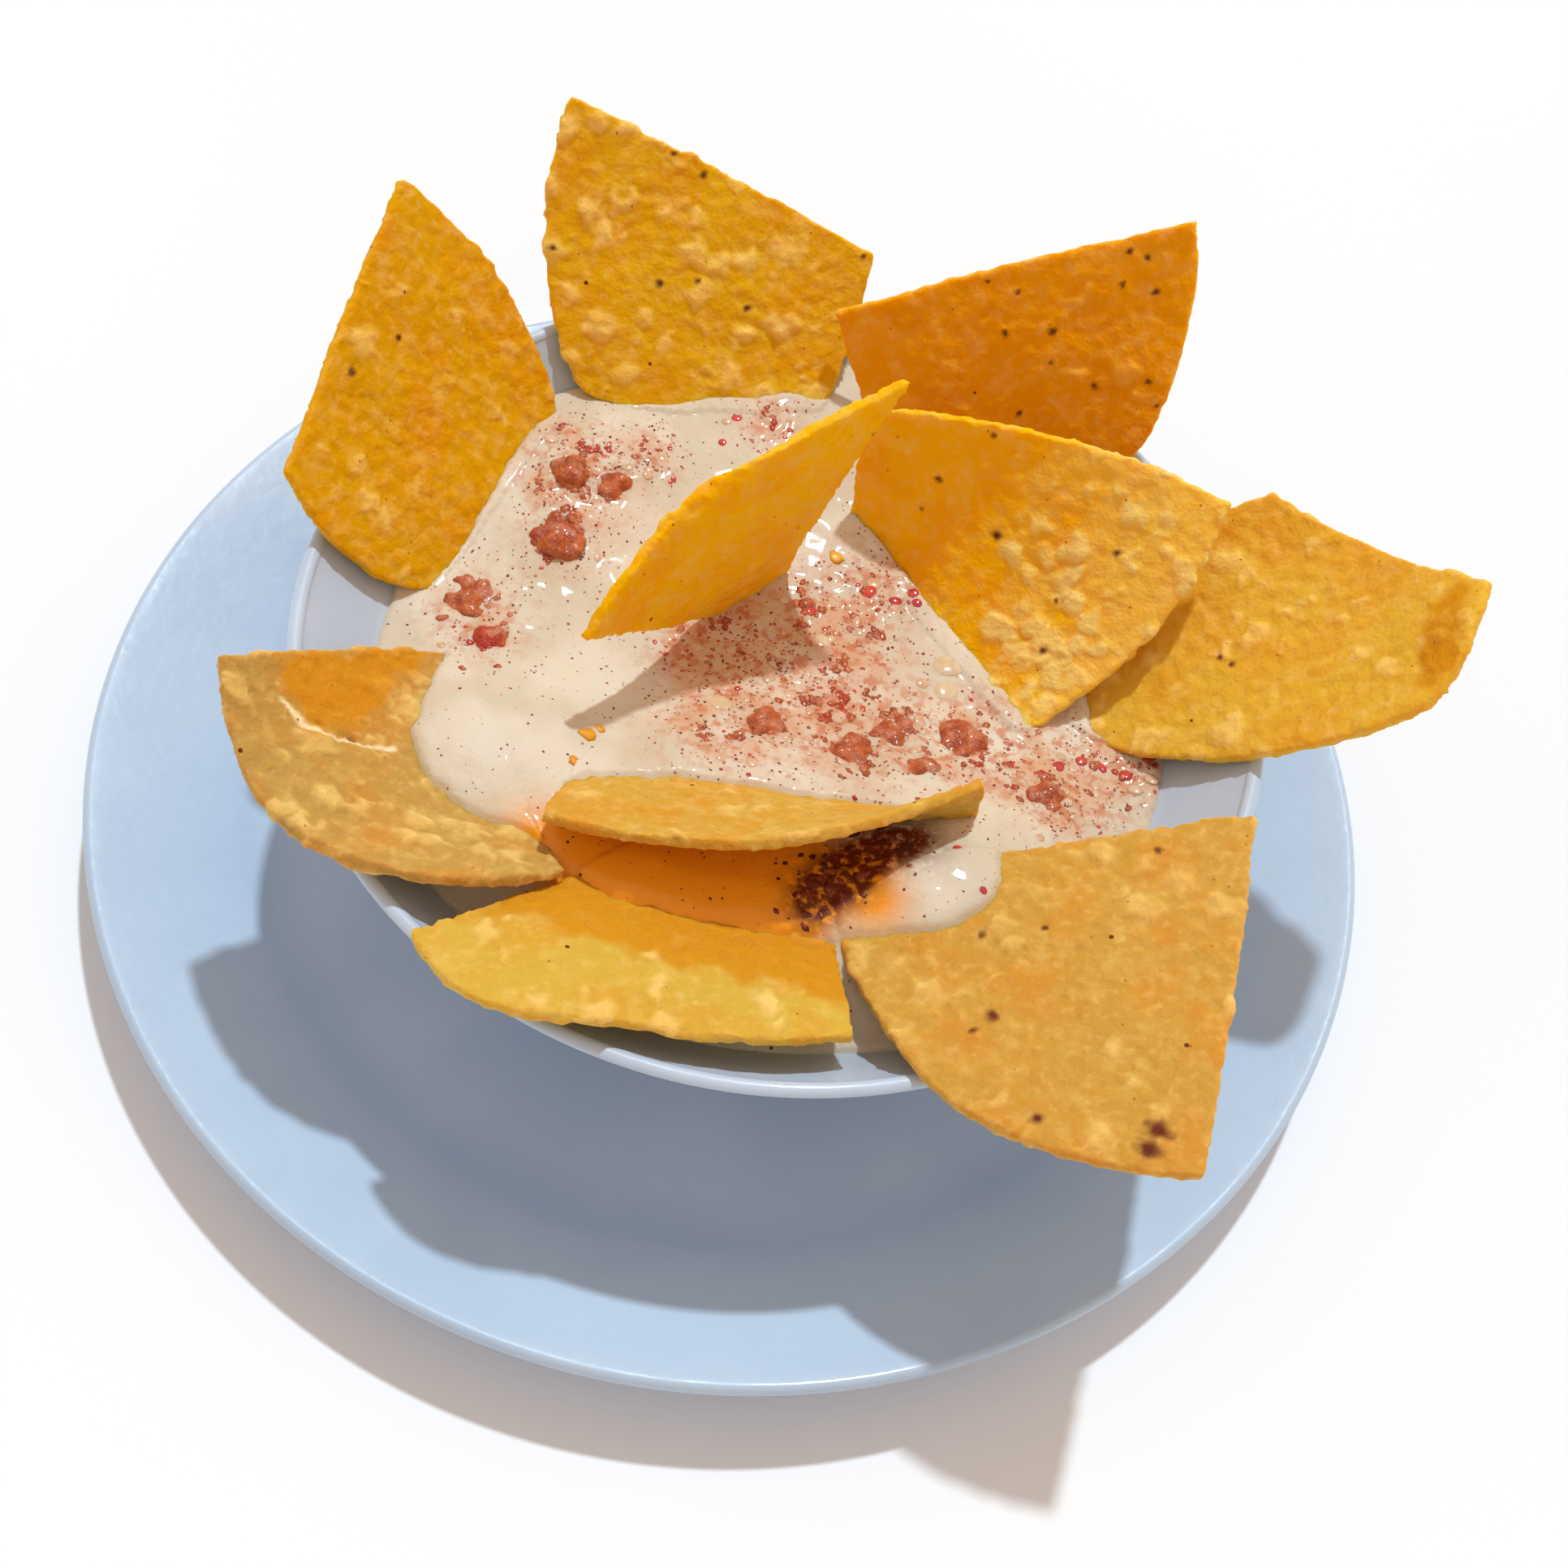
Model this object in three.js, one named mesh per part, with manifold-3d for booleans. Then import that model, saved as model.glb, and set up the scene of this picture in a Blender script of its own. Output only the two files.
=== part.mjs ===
// A bowl of warm chorizo cheese dip on a plate, with fried corn tortilla wedges planted in it.
// Millimetres, +Z up. The origin is the middle of the plate's flat underside, and -Y is the eater's side.
import * as THREE from "three";
import { mergeVertices } from "three/addons/utils/BufferGeometryUtils.js";
import Module from "manifold-3d";

const wasm = await Module();
wasm.setup();

// Driving dimensions
const GAP = 0.3; // clearance between pieces that touch
const ROUND_STEPS = 48; // facets round the plate and the bowl
const WALL_STEPS = 6; // facets along each curve of the bowl's section

const PLATE = {
  radius: 120,
  height: 18,
  floor: 4, // top of the flat well
  edge: 1.7, // half the thickness of the rim
  wellRadius: 80, // where the well starts to rise
  rimStart: 95, // where the sloping rim starts
  rimStartHeight: 9.5,
  footRadius: 74,
};

const BOWL = {
  offset: 4.6, // the bowl stands a little to the right of the plate's middle
  lipCentre: [84, 56.1], // radius and height
  lip: 1.4, // radius of the rounded lip
  footRadius: 41,
  footTop: 8.3,
  floor: 12, // inside
  floorRadius: 26,
  outerBend: [58, 25], // where the tangents of the outer wall cross
  innerBend: [53, 24],
};

const DIP = {
  level: 43.5, // away from the mounds
  edge: 1, // thickness where the dip ends on the sloping wall
  rings: 9,
  steps: 40,
};

// Mounds of dip: middle [x, y] from the bowl's axis, height above the level, and spread.
const MOUNDS = [
  { at: [36, -40], rise: 14.6, spread: 23 }, // over the front right chip
  { at: [-47, -31], rise: 12.3, spread: 20 }, // over the left chip
  { at: [-50, 37], rise: 7, spread: 26 }, // over the back left chip
  { at: [-6, -23], rise: 5.5, spread: 24 }, // behind the front chip
  { at: [-20, -52], rise: 8.5, spread: 18 }, // over the front left chip
  { at: [2, -52], rise: 6.5, spread: 18 }, // beside it, under the front chip
  { at: [-8, 64], rise: 7.5, spread: 28 }, // against the back chip
];

const CHIP = {
  thickness: 2,
  steps: 8, // squares along each side of the sheet
  cornerRound: 0.05,
  wave: 0.5, // unevenness from frying
};

// Each chip is a curved wedge of tortilla. Its corners tip, left, brow and right follow each other
// round its edge, in millimetres from the bowl's axis.
// bow: how far the edges tip-left, left-brow, brow-right and right-tip stand out from straight lines.
// cup: how far the sheet arches up between tip and left, and between tip and right.
const CHIPS = {
  chip_back_left: {
    tip: [-85, 61, 88], left: [-90, 4, 69], brow: [-64, 5, 43], right: [-51, 47, 46],
    bow: [0, 5, 0, 6.5], cup: [0, 0],
  },
  chip_back: {
    tip: [1, 87.5, 68.5], left: [-61, 89.5, 90], brow: [-50, 53.5, 50], right: [-2.8, 62, 46],
    bow: [0, 5, 3, 0], cup: [0, 0],
  },
  chip_back_right: {
    tip: [-5.8, 73.5, 65.3], left: [56, 81, 99], brow: [57, 58, 61], right: [17, 54, 34],
    bow: [0, 3, 3, 0], cup: [0, 0],
  },
  chip_leaning: {
    tip: [-5, 27.5, 33], left: [-33.5, -16.5, 68], brow: [-19, 8.5, 84], right: [11.7, 32, 95],
    bow: [0, 3, 0, -4], cup: [0, 0],
  },
  chip_middle: {
    tip: [4, 47, 69], left: [72, 36, 77], brow: [43, 0, 41], right: [8, 40, 34],
    bow: [4.5, 5, 0, 0], cup: [0, 0],
  },
  chip_right: {
    tip: [80, 46, 72], left: [112, 19, 90], brow: [104, -5, 82], right: [51, 6, 39],
    bow: [-2, 2, 5, 11], cup: [-4, 0],
  },
  chip_front_right: {
    tip: [84, -16, 60], left: [77, -89, 69], brow: [38, -81, 61], right: [14, -41, 49],
    bow: [0, 3, 3, 0], cup: [0, 0],
  },
  chip_front: {
    tip: [-20, -12, 38], left: [-33, -47, 60], brow: [37, -24, 64], right: [38, -21, 42],
    bow: [3, 14, 0, 0], cup: [0, 0],
  },
  chip_front_left: {
    tip: [8, -20, 40], left: [-48, -73, 61], brow: [-13, -79, 61], right: [24, -73, 57.5],
    bow: [0, 7, 2, 0], cup: [0, 0],
  },
  chip_left: {
    tip: [-56, -6, 43], left: [-88, -36, 72], brow: [-68, -61, 64], right: [-26, -53, 56],
    bow: [0, 1, 7, 0], cup: [0, -5],
  },
};

// The crack in the left chip: its ends as shares of the way from tip to left and from tip to right,
// how far it bends from a straight line, as such a share, and its width in the middle and at its ends.
const CRACK = { from: [0.78, 0.16], to: [0.37, 0.34], bend: 0.065, width: 1.1, endWidth: 0.3, steps: 5 };

// Chorizo lumps that stand out of the dip: middle [x, y] from the bowl's axis and size across.
const LUMPS = [
  { at: [-57, 4.5], size: 9 },
  { at: [-51.5, -4.5], size: 7 },
  { at: [-45, 20], size: 9 },
  { at: [-46, 33.5], size: 8 },
  { at: [-38, 33.5], size: 6 },
  { at: [15, -13], size: 9 },
  { at: [22, -6], size: 8 },
  { at: [27, -14], size: 7.5 },
  { at: [34, -4], size: 8 },
  { at: [-1, -11], size: 6.5 },
  { at: [50, -13], size: 6.5 },
];
const LUMP = {
  sunk: 0.18, // share of a lump's size that its middle lies below the surface
  flat: 0.8, // height to width
  knobs: 0.13, // depth of the unevenness, as a share of the radius
};

// Crumbs of chorizo too small to stand alone: patches of them on the dip, and their radii.
const CRUMB_PATCHES = [
  { at: [-42, 28], spread: 9, count: 6 },
  { at: [-8, -14], spread: 10, count: 8 },
  { at: [28, -10], spread: 14, count: 8 },
  { at: [50, -9], spread: 8, count: 4 },
];
const CRUMB_RADIUS = [1.2, 2.1];

const MATERIALS = {
  plate: new THREE.MeshStandardMaterial({ color: 0xe6ecf3, roughness: 0.15, metalness: 0 }),
  bowl: new THREE.MeshStandardMaterial({ color: 0xf0f1f3, roughness: 0.12, metalness: 0 }),
  dip: new THREE.MeshStandardMaterial({ color: 0xf3e3cf, roughness: 0.2, metalness: 0 }),
  chip: new THREE.MeshStandardMaterial({ color: 0xe0a92f, roughness: 0.7, metalness: 0 }),
  chorizo: new THREE.MeshStandardMaterial({ color: 0xa8492b, roughness: 0.35, metalness: 0 }),
};

// Solids and meshes

function bareGeometry(geometry) {
  const bare = geometry.clone();
  bare.deleteAttribute("normal");
  bare.deleteAttribute("uv");
  return bare;
}

function solidOf(geometry) {
  const merged = mergeVertices(bareGeometry(geometry), 1e-4);
  return new wasm.Manifold(
    new wasm.Mesh({
      numProp: 3,
      vertProperties: merged.attributes.position.array,
      triVerts: new Uint32Array(merged.index.array),
    }),
  );
}

function geometryOf(solid) {
  const mesh = solid.getMesh();
  const geometry = new THREE.BufferGeometry();
  geometry.setAttribute("position", new THREE.BufferAttribute(mesh.vertProperties, 3));
  geometry.setIndex(new THREE.BufferAttribute(mesh.triVerts, 1));
  geometry.computeVertexNormals();
  return geometry;
}

function largestBody(solid) {
  const bodies = solid.decompose();
  return bodies.reduce((best, body) => (body.volume() > best.volume() ? body : best));
}

function named(name, geometry, material) {
  const mesh = new THREE.Mesh(geometry, material);
  mesh.name = name;
  return mesh;
}

function turned(profile) {
  return new THREE.LatheGeometry(profile, ROUND_STEPS).rotateX(Math.PI / 2);
}

// Plate: a flat foot, a shallow well and a wide sloping rim with a rounded edge

function plateProfile() {
  const edgeRadius = PLATE.radius - PLATE.edge;
  const thickness = 2 * PLATE.edge;
  const path = new THREE.Path();
  path.moveTo(0, 0);
  path.lineTo(PLATE.footRadius, 0);
  path.quadraticCurveTo(PLATE.rimStart - 10, 0, PLATE.rimStart, PLATE.rimStartHeight - thickness);
  path.lineTo(edgeRadius, PLATE.height - thickness);
  path.absarc(edgeRadius, PLATE.height - PLATE.edge, PLATE.edge, -Math.PI / 2, Math.PI / 2);
  path.lineTo(PLATE.rimStart, PLATE.rimStartHeight);
  path.quadraticCurveTo(PLATE.rimStart - 7, PLATE.floor, PLATE.wellRadius, PLATE.floor);
  path.lineTo(0, PLATE.floor);
  return path.getPoints(4);
}

// Bowl: a flat foot, a curved flaring wall and a rounded lip

function bowlProfile() {
  const [lipRadius, lipHeight] = BOWL.lipCentre;
  const foot = PLATE.floor + GAP;
  const path = new THREE.Path();
  path.moveTo(0, foot);
  path.lineTo(BOWL.footRadius, foot);
  path.lineTo(BOWL.footRadius, BOWL.footTop);
  path.quadraticCurveTo(...BOWL.outerBend, lipRadius + BOWL.lip, lipHeight);
  path.absarc(lipRadius, lipHeight, BOWL.lip, 0, Math.PI);
  path.quadraticCurveTo(...BOWL.innerBend, BOWL.floorRadius, BOWL.floor);
  path.lineTo(0, BOWL.floor);
  return path.getPoints(WALL_STEPS);
}

// Height of the bowl's inner wall at a distance from its axis.
const innerWall = new THREE.QuadraticBezierCurve(
  new THREE.Vector2(BOWL.lipCentre[0] - BOWL.lip, BOWL.lipCentre[1]),
  new THREE.Vector2(...BOWL.innerBend),
  new THREE.Vector2(BOWL.floorRadius, BOWL.floor),
).getPoints(WALL_STEPS);

function wallHeight(radius) {
  if (radius <= BOWL.floorRadius) return BOWL.floor;
  const k = innerWall.findIndex((point) => point.x <= radius);
  const above = innerWall[k - 1];
  const below = innerWall[k];
  return THREE.MathUtils.mapLinear(radius, below.x, above.x, below.y, above.y);
}

function wallRadius(height) {
  const k = innerWall.findIndex((point) => point.y <= height);
  const above = innerWall[k - 1];
  const below = innerWall[k];
  return THREE.MathUtils.mapLinear(height, below.y, above.y, below.x, above.x);
}

// Dip: fills the bowl up to an uneven, mounded surface

function dipHeight(x, y) {
  let height = DIP.level;
  for (const { at, rise, spread } of MOUNDS) {
    const away = Math.hypot(x - at[0], y - at[1]) / spread;
    height += rise * Math.exp(-away * away);
  }
  return height;
}

// How far the dip reaches from the axis in one direction, up to the sloping wall.
function dipReach(angle) {
  let reach = wallRadius(DIP.level);
  for (let round = 0; round < 6; round += 1) {
    const height = dipHeight(reach * Math.cos(angle), reach * Math.sin(angle));
    reach = wallRadius(height - DIP.edge);
  }
  return reach;
}

function dipGeometry() {
  const { rings, steps } = DIP;
  const positions = [];
  const index = [];
  const wallGap = 3 * GAP; // measured upright on the sloping wall
  const addRing = (share, top) => {
    for (let s = 0; s < steps; s += 1) {
      const angle = (2 * Math.PI * s) / steps;
      const radius = share * dipReach(angle);
      const x = radius * Math.cos(angle);
      const y = radius * Math.sin(angle);
      positions.push(x, y, top ? dipHeight(x, y) : wallHeight(radius) + wallGap);
    }
  };
  for (let k = 1; k <= rings; k += 1) addRing(k / rings, true);
  for (let k = rings; k >= 1; k -= 1) addRing(k / rings, false);
  const topMiddle = positions.length / 3;
  positions.push(0, 0, dipHeight(0, 0), 0, 0, BOWL.floor + wallGap);
  const bottomMiddle = topMiddle + 1;
  const lastRing = 2 * rings - 1;
  for (let s = 0; s < steps; s += 1) {
    const next = (s + 1) % steps;
    index.push(topMiddle, s, next);
    index.push(bottomMiddle, lastRing * steps + next, lastRing * steps + s);
    for (let k = 0; k < lastRing; k += 1) {
      const a = k * steps + s;
      const b = k * steps + next;
      index.push(a, a + steps, b, b, a + steps, b + steps);
    }
  }
  const geometry = new THREE.BufferGeometry();
  geometry.setAttribute("position", new THREE.Float32BufferAttribute(positions, 3));
  geometry.setIndex(index);
  return geometry;
}

// Chips: thin wavy sheets, with both faces on the same grid

function vector(place) {
  return new THREE.Vector3(...place);
}

// The middle surface of a chip, as a function of two shares between 0 and 1.
function chipSheet(chip, number) {
  const corners = [chip.tip, chip.left, chip.brow, chip.right].map(vector);
  const [tip, left, brow, right] = corners;
  const middle = tip.clone().add(left).add(brow).add(right).divideScalar(4);
  const upward = left.clone().sub(tip).cross(right.clone().sub(tip)).normalize();
  if (upward.z < 0) upward.negate();
  const outward = corners.map((corner, k) => {
    const away = corners[(k + 1) % 4].clone().sub(corner).cross(upward).normalize();
    return away.dot(corner.clone().sub(middle)) < 0 ? away.negate() : away;
  });
  return (u, v) => {
    const x = 2 * u - 1;
    const y = 2 * v - 1;
    const s = 0.5 + 0.5 * x * Math.sqrt(1 - CHIP.cornerRound * y * y);
    const t = 0.5 + 0.5 * y * Math.sqrt(1 - CHIP.cornerRound * x * x);
    const archS = 4 * s * (1 - s);
    const archT = 4 * t * (1 - t);
    const point = new THREE.Vector3();
    [(1 - s) * (1 - t), s * (1 - t), s * t, (1 - s) * t].forEach((share, k) => {
      point.addScaledVector(corners[k], share);
    });
    [archS * (1 - t), archT * s, archS * t, archT * (1 - s)].forEach((share, k) => {
      point.addScaledVector(outward[k], share * chip.bow[k]);
    });
    const wave = CHIP.wave * Math.sin(7 * s + 2 * number) * Math.sin(6 * t + 3 * number);
    return point.addScaledVector(upward, chip.cup[0] * archS + chip.cup[1] * archT + wave);
  };
}

// The chip's solid, or with grow the room that it needs in the dip.
function chipGeometry(chip, number, grow = 0) {
  const sheet = chipSheet(chip, number);
  const steps = CHIP.steps;
  const side = steps + 1;
  const reach = (3 * grow) / vector(chip.tip).distanceTo(vector(chip.brow));
  const half = CHIP.thickness / 2 + grow;
  const nudge = 1e-3;
  const positions = [];
  const index = [];
  const place = (k) => k / steps + (k === 0 ? -reach : 0) + (k === steps ? reach : 0);
  for (const face of [1, -1]) {
    for (let i = 0; i < side; i += 1) {
      for (let j = 0; j < side; j += 1) {
        const u = place(i);
        const v = place(j);
        const point = sheet(u, v);
        const alongU = sheet(u + nudge, v).sub(sheet(u - nudge, v));
        const alongV = sheet(u, v + nudge).sub(sheet(u, v - nudge));
        const normal = alongU.cross(alongV).normalize();
        positions.push(...point.addScaledVector(normal, face * half).toArray());
      }
    }
  }
  const under = side * side;
  for (let i = 0; i < steps; i += 1) {
    for (let j = 0; j < steps; j += 1) {
      const a = i * side + j;
      const b = a + side;
      index.push(a, b, b + 1, a, b + 1, a + 1);
      index.push(under + a, under + b + 1, under + b, under + a, under + a + 1, under + b + 1);
    }
  }
  const wall = (a, b) => index.push(a, under + a, b, b, under + a, under + b);
  for (let k = 0; k < steps; k += 1) {
    wall(k * side, (k + 1) * side);
    wall(steps * side + k, steps * side + k + 1);
    wall((k + 1) * side + steps, k * side + steps);
    wall(k + 1, k);
  }
  const geometry = new THREE.BufferGeometry();
  geometry.setAttribute("position", new THREE.Float32BufferAttribute(positions, 3));
  geometry.setIndex(index);
  geometry.computeVertexNormals();
  return geometry;
}

// A thin curved bar along the crack, through the whole thickness of the chip.
function crackGeometry(sheet) {
  const { from, to, bend, width, endWidth, steps } = CRACK;
  const [start, end] = [from, to].map((place) => sheet(...place));
  const across = end.clone().sub(start).cross(new THREE.Vector3(0, 0, 1)).normalize();
  const depth = new THREE.Vector3(0, 0, 2 * CHIP.thickness);
  const positions = [];
  const index = [];
  for (let k = 0; k <= steps; k += 1) {
    const share = k / steps;
    const arch = 4 * share * (1 - share);
    const middle = sheet(
      THREE.MathUtils.lerp(from[0], to[0], share),
      THREE.MathUtils.lerp(from[1], to[1], share) + bend * arch,
    );
    const half = across.clone().multiplyScalar(THREE.MathUtils.lerp(endWidth, width, arch) / 2);
    for (const [side, level] of [[1, 1], [-1, 1], [-1, -1], [1, -1]]) {
      const corner = middle.clone().addScaledVector(half, side).addScaledVector(depth, level);
      positions.push(...corner.toArray());
    }
  }
  for (let k = 0; k < steps; k += 1) {
    for (let c = 0; c < 4; c += 1) {
      const a = 4 * k + c;
      const b = 4 * k + ((c + 1) % 4);
      index.push(a, a + 4, b, b, a + 4, b + 4);
    }
  }
  const last = 4 * steps;
  index.push(0, 1, 2, 0, 2, 3, last, last + 2, last + 1, last, last + 3, last + 2);
  const geometry = new THREE.BufferGeometry();
  geometry.setAttribute("position", new THREE.Float32BufferAttribute(positions, 3));
  geometry.setIndex(index);
  return geometry;
}

// Chorizo

// A knobbly ball of the given diameter, different for each number.
function lumpGeometry(diameter, number, detail) {
  const geometry = mergeVertices(bareGeometry(new THREE.IcosahedronGeometry(diameter / 2, detail)), 1e-3);
  const position = geometry.attributes.position;
  const point = new THREE.Vector3();
  for (let k = 0; k < position.count; k += 1) {
    point.fromBufferAttribute(position, k);
    const { x, y, z } = point.clone().normalize();
    const knob = Math.sin(3 * x + number) * Math.sin(4 * y + 2 * number) + Math.sin(5 * z + 3 * number);
    point.multiplyScalar(1 + LUMP.knobs * knob);
    position.setXYZ(k, point.x, point.y, LUMP.flat * point.z);
  }
  geometry.computeVertexNormals();
  return geometry;
}

function seededRandom(seed) {
  let state = seed;
  return () => {
    state = (state * 16807) % 2147483647;
    return state / 2147483647;
  };
}

function withCrumbs(dip) {
  const random = seededRandom(7);
  let whole = dip;
  for (const { at, spread, count } of CRUMB_PATCHES) {
    for (let k = 0; k < count; k += 1) {
      const angle = 2 * Math.PI * random();
      const away = spread * Math.sqrt(random());
      const x = at[0] + away * Math.cos(angle);
      const y = at[1] + away * Math.sin(angle);
      const radius = THREE.MathUtils.lerp(...CRUMB_RADIUS, random());
      const crumb = lumpGeometry(2 * radius, k, 0).translate(x, y, dipHeight(x, y));
      whole = whole.add(solidOf(crumb));
    }
  }
  return whole;
}

// Assembly

const part = new THREE.Group();
part.add(named("plate", turned(plateProfile()), MATERIALS.plate));

const serving = new THREE.Group();
serving.position.x = BOWL.offset;
part.add(serving);
serving.add(named("bowl", turned(bowlProfile()), MATERIALS.bowl));

let dip = withCrumbs(solidOf(dipGeometry()));
Object.entries(CHIPS).forEach(([name, chip], number) => {
  let geometry = chipGeometry(chip, number);
  if (name === "chip_left") {
    geometry = geometryOf(solidOf(geometry).subtract(solidOf(crackGeometry(chipSheet(chip, number)))));
  }
  serving.add(named(name, geometry, MATERIALS.chip));
  dip = dip.subtract(solidOf(chipGeometry(chip, number, GAP)));
});

LUMPS.forEach(({ at: [x, y], size }, number) => {
  const height = dipHeight(x, y) - LUMP.sunk * size;
  const lump = lumpGeometry(size, number, 1).translate(x, y, height);
  const hollow = lumpGeometry(size + 3 * GAP, number, 1).translate(x, y, height);
  serving.add(named(`chorizo_${number + 1}`, lump, MATERIALS.chorizo));
  dip = dip.subtract(solidOf(hollow));
});
serving.add(named("dip", geometryOf(largestBody(dip)), MATERIALS.dip));

export default part;
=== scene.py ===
"""Looks of the plate of chorizo dip: fried tortilla chips planted in a bowl of cheese dip on a plate."""

import math

import bmesh
import bpy
import numpy as np
from mathutils import Matrix, Vector, noise
from mathutils.bvhtree import BVHTree


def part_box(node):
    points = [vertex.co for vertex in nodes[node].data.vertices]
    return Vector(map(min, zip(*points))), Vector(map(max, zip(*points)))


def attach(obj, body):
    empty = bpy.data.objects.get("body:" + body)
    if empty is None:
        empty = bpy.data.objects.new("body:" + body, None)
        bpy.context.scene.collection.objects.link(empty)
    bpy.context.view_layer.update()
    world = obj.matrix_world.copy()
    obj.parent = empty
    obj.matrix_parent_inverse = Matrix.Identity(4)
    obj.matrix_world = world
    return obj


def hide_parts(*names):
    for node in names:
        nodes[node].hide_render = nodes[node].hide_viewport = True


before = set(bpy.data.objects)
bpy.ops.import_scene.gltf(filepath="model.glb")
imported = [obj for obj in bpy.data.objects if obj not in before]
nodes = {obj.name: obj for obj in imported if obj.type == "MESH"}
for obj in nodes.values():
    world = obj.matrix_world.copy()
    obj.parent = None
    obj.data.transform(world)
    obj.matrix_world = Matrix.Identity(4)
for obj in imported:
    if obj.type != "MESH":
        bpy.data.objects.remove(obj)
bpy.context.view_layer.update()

MM = 0.001
BODY = "root"
DOWN = Vector((0, 0, -1))

# The photograph's camera: place in mm, tilt below the horizon, roll and focal length in pixels.
IMAGE_SIDE = 1932
SENSOR = 36
CAMERA = {"place": (9.15, -221.43, 350.33), "tilt": 56.65, "roll": 12.09, "focal": 2600}

# One clear light from behind and an even fill.
KEY = {"towards": (0.044, 0.42, 0.906), "strength": 2.0, "spread": 2.5, "colour": (0.84, 0.95, 1.0)}
FILL = {"strength": 0.67, "colour": (1.0, 0.8, 0.66)}
FLOOR_SIDE = 6

# Edges that turn more than this stay sharp when a solid is smoothed.
SHARP_TURN = 0.9

CHIP_FACE = 0.55 * MM
CHIP_WARP = {"size": 11 * MM, "depth": 0.45 * MM}
CHIP_GRAIN = {"size": 1.9 * MM, "depth": 0.1 * MM}
CHIP_EDGE = {"size": 2.2 * MM, "depth": 0.36 * MM}
BLISTER = {"radius": (1.2 * MM, 4.2 * MM), "rise": 0.2, "bend": 2.4 * MM, "size": 2.6 * MM, "pale_from": 0.45 * MM}
# How many blisters each chip has, how pale they are, and the colour the chip is fried to.
CHIPS = {
    "chip_back_left": {"blisters": 30, "pale": 0.35, "colour": (222, 166, 2)},
    "chip_back": {"blisters": 110, "pale": 0.45, "colour": (230, 182, 14)},
    "chip_back_right": {"blisters": 14, "pale": 0.15, "colour": (240, 170, 2)},
    "chip_leaning": {"blisters": 6, "pale": 0.2, "colour": (255, 194, 2)},
    "chip_middle": {"blisters": 190, "pale": 0.75, "colour": (250, 190, 8)},
    "chip_right": {"blisters": 90, "pale": 0.45, "colour": (230, 184, 58)},
    "chip_front_right": {"blisters": 150, "pale": 0.32, "colour": (208, 160, 68)},
    "chip_front": {"blisters": 30, "pale": 0.35, "colour": (208, 162, 64)},
    "chip_front_left": {"blisters": 70, "pale": 0.5, "colour": (216, 180, 72)},
    "chip_left": {"blisters": 150, "pale": 0.4, "colour": (194, 153, 78)},
}
# The middle chip is blistered towards its right-hand end only, and that end is also painted paler as painted light,
# while its left part lies in shade.
BLISTER_FROM = {"chip_middle": 40 * MM}
LIT_END_FADE = {"width": 16 * MM, "pale": 0.3}

# Outlines of the chips' parts in shadow that are painted deeper orange as painted shade, and a crack in one chip
# painted with a pale highlight, as columns and rows in the photograph.
PAINTED_SHADE_PARTS = {
    "chip_left": [(342, 808), (541, 793), (429, 905), (383, 898), (345, 840)],
    "chip_right": [(1779, 722), (1813, 719), (1798, 809), (1770, 849), (1745, 837)],
    "chip_front_left": [(500, 1090), (640, 1040), (1060, 1150), (1065, 1246)],
}
CRACK_GLINTS = {"chip_left": [(345, 860), (373, 890), (398, 905), (444, 918), (485, 923)]}
SOFT_EDGE = 16
CRACK_GLINT_WIDTH = 4

# Scorched spots on the chips, as column and row in the photograph and radius.
BURNS = [
    (1426, 1393, 2.2 * MM), (1415, 1415, 2.3 * MM), (1222, 1252, 1.5 * MM), (1277, 1379, 1.2 * MM),
    (1206, 1150, 1.0 * MM), (1427, 1048, 0.9 * MM), (1199, 1270, 0.8 * MM), (1287, 1143, 0.8 * MM),
    (1227, 660, 1.2 * MM), (1157, 591, 0.9 * MM), (1223, 537, 0.8 * MM), (1377, 680, 0.9 * MM),
    (1287, 803, 1.0 * MM), (1518, 818, 1.0 * MM), (1504, 810, 0.8 * MM), (867, 216, 1.1 * MM),
    (831, 188, 0.9 * MM), (922, 379, 1.1 * MM), (815, 347, 0.9 * MM), (859, 346, 0.8 * MM),
    (680, 305, 0.9 * MM), (1063, 316, 0.9 * MM), (434, 457, 1.0 * MM), (492, 416, 0.9 * MM),
    (1413, 318, 1.0 * MM), (1425, 360, 0.9 * MM), (1240, 410, 0.8 * MM), (1297, 407, 0.8 * MM),
    (1217, 349, 0.6 * MM), (1253, 361, 0.7 * MM), (1392, 309, 0.7 * MM), (1383, 349, 0.6 * MM),
    (1347, 476, 0.8 * MM), (1416, 470, 0.7 * MM), (1425, 500, 0.6 * MM), (1256, 509, 0.7 * MM),
    (1294, 446, 0.6 * MM), (1303, 740, 0.7 * MM), (1135, 627, 0.6 * MM), (1078, 536, 0.6 * MM),
]

DIP_CELLS = 280
DIP_SAMPLE = 1.0 * MM
SLOT_WIDTH = 5
DIP_INTO_WALL = 0.7 * MM
DIP_SWELL = {"size": 10 * MM, "depth": 0.55 * MM}
DIP_RIPPLE = {"size": 3.4 * MM, "depth": 0.12 * MM}
LIP = {"rise": 1.1 * MM, "width": 0.4 * MM, "reach": 4.5 * MM}
MEAT_COLLAR = 0.06
MEAT_SWELL = 0.7 * MM
MEAT_BUMPS = {"size": 3 * MM, "depth": 0.55 * MM}

MEAT_FACE = 0.42 * MM
MEAT_KNOBS = {"size": 2.6 * MM, "depth": 1.5 * MM}
MEAT_GRAIN = {"size": 0.9 * MM, "depth": 0.3 * MM}
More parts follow.
